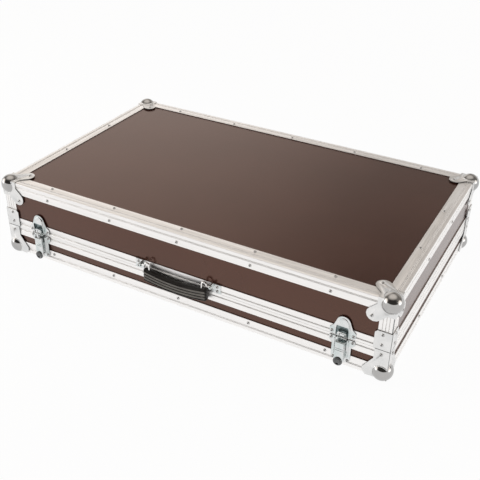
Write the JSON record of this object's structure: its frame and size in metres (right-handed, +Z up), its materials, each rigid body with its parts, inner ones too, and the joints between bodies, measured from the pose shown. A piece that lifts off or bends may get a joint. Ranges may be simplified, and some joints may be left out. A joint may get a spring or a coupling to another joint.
{
  "type": "keyboard flight case",
  "caption": "Hard case for a keyboard: hinged lid, aluminium edging, ball corners, turn latches and a carry handle.",
  "frame": {"origin": "middle of the underside of the box that just holds the closed case", "axes": "+X to the right along the front, +Y from the front to the hinges, +Z up"},
  "size_m": [1.011, 0.628, 0.214],
  "materials": {
    "brown_laminate": "gloss laminate",
    "brushed_aluminium": "fine brushed",
    "zinc_plate": "bright zinc plate",
    "chrome_ball": "polished zinc plate",
    "bail_chrome": "mirror",
    "grip_rubber": "satin",
    "lining_foam": "matt foam"
  },
  "bodies": {
    "base": {"base_floor_panel": "brown_laminate", "base_front_panel": "brown_laminate", "base_right_panel": "brown_laminate", "base_back_panel": "brown_laminate", "base_left_panel": "brown_laminate", "base_edge_frame": "brushed_aluminium", "base_closing_frame": "brushed_aluminium", "base_ball_corner_front_left": "chrome_ball", "base_ball_corner_front_right": "chrome_ball", "base_ball_corner_back_right": "chrome_ball", "base_ball_corner_back_left": "chrome_ball", "base_foam_bed": "lining_foam", "base_foam_surround": "lining_foam", "latch_left_base_plate": "zinc_plate", "hinge_left_base_leaf": "zinc_plate", "hinge_left_pin": "zinc_plate", "latch_right_base_plate": "zinc_plate", "hinge_right_base_leaf": "zinc_plate", "hinge_right_pin": "zinc_plate"},
    "lid": {"lid_top_panel": "brown_laminate", "lid_front_panel": "brown_laminate", "lid_edge_angle_front": "brushed_aluminium", "lid_right_panel": "brown_laminate", "lid_edge_angle_right": "brushed_aluminium", "lid_back_panel": "brown_laminate", "lid_edge_angle_back": "brushed_aluminium", "lid_left_panel": "brown_laminate", "lid_edge_angle_left": "brushed_aluminium", "lid_closing_frame": "brushed_aluminium", "lid_upright_angle_front_left": "brushed_aluminium", "lid_ball_corner_front_left": "chrome_ball", "lid_corner_brace_front_left": "zinc_plate", "lid_upright_angle_front_right": "brushed_aluminium", "lid_ball_corner_front_right": "chrome_ball", "lid_corner_brace_front_right": "zinc_plate", "lid_upright_angle_back_right": "brushed_aluminium", "lid_ball_corner_back_right": "chrome_ball", "lid_corner_brace_back_right": "zinc_plate", "lid_upright_angle_back_left": "brushed_aluminium", "lid_ball_corner_back_left": "chrome_ball", "lid_corner_brace_back_left": "zinc_plate", "lid_foam_pad": "lining_foam", "handle_bracket_left": "zinc_plate", "latch_left_keeper": "zinc_plate", "hinge_left_lid_leaf": "zinc_plate", "handle_bracket_right": "zinc_plate", "latch_right_keeper": "zinc_plate", "hinge_right_lid_leaf": "zinc_plate"},
    "handle": {"handle_bail_left": "bail_chrome", "handle_bail_right": "bail_chrome", "handle_grip": "grip_rubber"},
    "slider_left": {"latch_left_slider": "zinc_plate"},
    "hook_left": {"latch_left_hook": "zinc_plate"},
    "spindle_left": {"latch_left_spindle": "zinc_plate"},
    "wing_left": {"latch_left_wing": "zinc_plate"},
    "slider_right": {"latch_right_slider": "zinc_plate"},
    "hook_right": {"latch_right_hook": "zinc_plate"},
    "spindle_right": {"latch_right_spindle": "zinc_plate"},
    "wing_right": {"latch_right_wing": "zinc_plate"}
  },
  "joints": [
    {"name": "lid_hinge", "type": "hinge", "parent": "base", "child": "lid", "pos_m": [0, 0.3081, 0.0823], "axis": [-1, 0, 0], "range_deg": [0, 100]},
    {"name": "handle_swing", "type": "hinge", "parent": "lid", "child": "handle", "pos_m": [0, -0.307, 0.1008], "axis": [-1, 0, 0], "range_deg": [0, 110]},
    {"name": "wing_turn_left", "type": "hinge", "parent": "base", "child": "spindle_left", "pos_m": [-0.395, -0.2965, 0.0563], "axis": [0, 1, 0], "range_deg": [-180, 0]},
    {"name": "hook_draw_left", "type": "slide", "parent": "base", "child": "slider_left", "axis": [0, 0, 1], "range_m": [-0.005, 0]},
    {"name": "hook_tilt_left", "type": "hinge", "parent": "slider_left", "child": "hook_left", "pos_m": [-0.395, -0.3006, 0.0813], "axis": [1, 0, 0], "range_deg": [-17, 0]},
    {"name": "wing_fold_left", "type": "hinge", "parent": "spindle_left", "child": "wing_left", "pos_m": [-0.395, -0.3068, 0.0728], "axis": [-1, 0, 0], "range_deg": [0, 100]},
    {"name": "wing_turn_right", "type": "hinge", "parent": "base", "child": "spindle_right", "pos_m": [0.395, -0.2965, 0.0563], "axis": [0, 1, 0], "range_deg": [-180, 0]},
    {"name": "hook_draw_right", "type": "slide", "parent": "base", "child": "slider_right", "axis": [0, 0, 1], "range_m": [-0.005, 0]},
    {"name": "hook_tilt_right", "type": "hinge", "parent": "slider_right", "child": "hook_right", "pos_m": [0.395, -0.3006, 0.0813], "axis": [1, 0, 0], "range_deg": [-17, 0]},
    {"name": "wing_fold_right", "type": "hinge", "parent": "spindle_right", "child": "wing_right", "pos_m": [0.395, -0.3068, 0.0728], "axis": [-1, 0, 0], "range_deg": [0, 100]}
  ],
  "couplings": [
    {"joint": "hook_draw_left", "follows": "wing_turn_left", "m_per_rad": 0.00159},
    {"joint": "hook_draw_right", "follows": "wing_turn_right", "m_per_rad": 0.00159}
  ]
}
